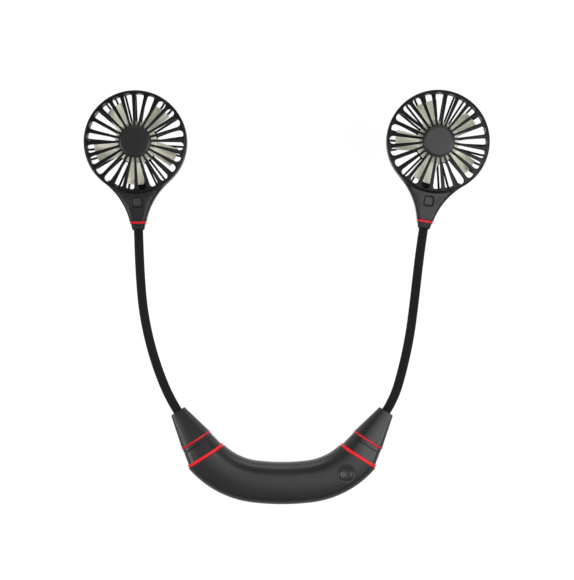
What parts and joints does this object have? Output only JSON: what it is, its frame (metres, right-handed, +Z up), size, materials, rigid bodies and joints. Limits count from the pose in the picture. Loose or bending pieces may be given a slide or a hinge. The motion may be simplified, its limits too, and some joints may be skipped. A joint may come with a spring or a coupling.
{
  "type": "electric neck fan",
  "caption": "Electric neck fan: a battery collar that sits round the neck and carries a small guarded fan on each of its bendable arms.",
  "frame": {"origin": "middle of the battery collar, on the flat land under it that lies on the table", "axes": "+Z up, the way the fans face; +Y from the collar along the arms; +X towards the end with the power button"},
  "size_m": [0.2828, 0.2887, 0.0239],
  "materials": {
    "shell": "satin black moulded plastic",
    "cover": "satin black moulded plastic",
    "power_button": "satin black plastic",
    "head_button": "satin black plastic",
    "red_ring": "smooth red elastomer",
    "blade": "matte beige plastic",
    "braid": "black braided sleeve over a steel core",
    "cell_wrap": "heat-shrink film on a metal can",
    "nickel": "nickel strip",
    "circuit_board": "green solder mask",
    "port_steel": "stamped steel",
    "switch_black": "moulded plastic",
    "screw_steel": "plain steel",
    "magnet": "bonded magnet",
    "bearing": "sintered bronze",
    "stator": "laminations with enamelled copper windings"
  },
  "bodies": {
    "collar": {"battery_cell": "cell_wrap", "battery_tabs": "nickel", "charging_port": "port_steel", "collar_front_shell": "shell", "collar_rear_shell": "shell", "control_board": "circuit_board", "left_arm_0": "braid", "left_clamp_ring": "red_ring", "left_cone": "shell", "left_trim_ring": "red_ring", "power_button_ring": "power_button", "power_switch": "switch_black", "right_arm_0": "braid", "right_clamp_ring": "red_ring", "right_cone": "shell", "right_trim_ring": "red_ring", "shell_screws": "screw_steel"},
    "left_arm_1": {"left_arm_1": "braid"},
    "left_arm_2": {"left_arm_2": "braid"},
    "left_arm_3": {"left_arm_3": "braid"},
    "left_arm_4": {"left_arm_4": "braid"},
    "left_arm_5": {"left_arm_5": "braid"},
    "left_head": {"left_arm_6": "braid", "left_front_cover": "cover", "left_rear_cover": "cover", "left_bearing": "bearing", "left_stator": "stator", "left_motor_board": "circuit_board", "left_switch": "switch_black", "left_switch_board": "circuit_board", "left_neck_ring": "red_ring", "left_ferrule": "cover", "left_screws": "screw_steel"},
    "left_fan": {"left_rotor": "blade", "left_magnet_ring": "magnet", "left_motor_shaft": "screw_steel"},
    "left_button": {"left_button": "head_button"},
    "right_arm_1": {"right_arm_1": "braid"},
    "right_arm_2": {"right_arm_2": "braid"},
    "right_arm_3": {"right_arm_3": "braid"},
    "right_arm_4": {"right_arm_4": "braid"},
    "right_arm_5": {"right_arm_5": "braid"},
    "right_head": {"right_arm_6": "braid", "right_front_cover": "cover", "right_rear_cover": "cover", "right_bearing": "bearing", "right_stator": "stator", "right_motor_board": "circuit_board", "right_switch": "switch_black", "right_switch_board": "circuit_board", "right_neck_ring": "red_ring", "right_ferrule": "cover", "right_screws": "screw_steel"},
    "right_fan": {"right_rotor": "blade", "right_magnet_ring": "magnet", "right_motor_shaft": "screw_steel"},
    "right_button": {"right_button": "head_button"},
    "power_button": {"power_button": "power_button"}
  },
  "joints": [
    {"name": "left_lift_1", "type": "hinge", "parent": "collar", "child": "left_arm_1", "pos_m": [-0.07874, 0.05931, 0.0117], "axis": [0.8882, 0.4594, 0], "range_deg": [-15, 25]},
    {"name": "left_curl_1", "type": "hinge", "parent": "left_arm_1", "child": "left_arm_2", "pos_m": [-0.08706, 0.0796, 0.0117], "axis": [0, 0, -1], "range_deg": [-15, 7]},
    {"name": "left_lift_2", "type": "hinge", "parent": "left_arm_2", "child": "left_arm_3", "pos_m": [-0.09325, 0.10064, 0.0117], "axis": [0.972, 0.2351, 0], "range_deg": [-15, 25]},
    {"name": "left_curl_2", "type": "hinge", "parent": "left_arm_3", "child": "left_arm_4", "pos_m": [-0.09736, 0.12219, 0.0117], "axis": [0, 0, -1], "range_deg": [-15, 7]},
    {"name": "left_lift_3", "type": "hinge", "parent": "left_arm_4", "child": "left_arm_5", "pos_m": [-0.09916, 0.14405, 0.0117], "axis": [0.998, 0.0637, 0], "range_deg": [-15, 25]},
    {"name": "left_curl_3", "type": "hinge", "parent": "left_arm_5", "child": "left_head", "pos_m": [-0.10015, 0.16596, 0.0117], "axis": [0, 0, -1], "range_deg": [-15, 7]},
    {"name": "left_fan_spin", "type": "hinge", "parent": "left_head", "child": "left_fan", "pos_m": [-0.10217, 0.2381, 0.0117], "axis": [0, 0, 1], "continuous": true},
    {"name": "left_button_press", "type": "slide", "parent": "left_head", "child": "left_button", "axis": [0, 0, -1], "range_m": [0, 0.0005], "stiffness_N_per_m": 800, "springref_m": -0.0004},
    {"name": "right_lift_1", "type": "hinge", "parent": "collar", "child": "right_arm_1", "pos_m": [0.07874, 0.05931, 0.0117], "axis": [0.9125, -0.4091, 0], "range_deg": [-15, 25]},
    {"name": "right_curl_1", "type": "hinge", "parent": "right_arm_1", "child": "right_arm_2", "pos_m": [0.08475, 0.0804, 0.0117], "axis": [0, 0, 1], "range_deg": [-15, 7]},
    {"name": "right_lift_2", "type": "hinge", "parent": "right_arm_2", "child": "right_arm_3", "pos_m": [0.08934, 0.10185, 0.0117], "axis": [0.9853, -0.1711, 0], "range_deg": [-15, 25]},
    {"name": "right_curl_2", "type": "hinge", "parent": "right_arm_3", "child": "right_arm_4", "pos_m": [0.09224, 0.12359, 0.0117], "axis": [0, 0, 1], "range_deg": [-15, 7]},
    {"name": "right_lift_3", "type": "hinge", "parent": "right_arm_4", "child": "right_arm_5", "pos_m": [0.09469, 0.14539, 0.0117], "axis": [0.9932, -0.1167, 0], "range_deg": [-15, 25]},
    {"name": "right_curl_3", "type": "hinge", "parent": "right_arm_5", "child": "right_head", "pos_m": [0.09736, 0.16716, 0.0117], "axis": [0, 0, 1], "range_deg": [-15, 7]},
    {"name": "right_fan_spin", "type": "hinge", "parent": "right_head", "child": "right_fan", "pos_m": [0.10877, 0.23842, 0.0117], "axis": [0, 0, 1], "continuous": true},
    {"name": "right_button_press", "type": "slide", "parent": "right_head", "child": "right_button", "axis": [0, 0, -1], "range_m": [0, 0.0005], "stiffness_N_per_m": 800, "springref_m": -0.0004},
    {"name": "power_button_press", "type": "slide", "parent": "collar", "child": "power_button", "axis": [0, 0, -1], "range_m": [0, 0.0006], "stiffness_N_per_m": 800, "springref_m": -0.0004}
  ],
  "couplings": [
    {"joint": "left_lift_2", "follows": "left_lift_1", "ratio": 1},
    {"joint": "left_curl_2", "follows": "left_curl_1", "ratio": 1},
    {"joint": "left_lift_3", "follows": "left_lift_1", "ratio": 1},
    {"joint": "left_curl_3", "follows": "left_curl_1", "ratio": 1},
    {"joint": "right_lift_2", "follows": "right_lift_1", "ratio": 1},
    {"joint": "right_curl_2", "follows": "right_curl_1", "ratio": 1},
    {"joint": "right_lift_3", "follows": "right_lift_1", "ratio": 1},
    {"joint": "right_curl_3", "follows": "right_curl_1", "ratio": 1}
  ]
}
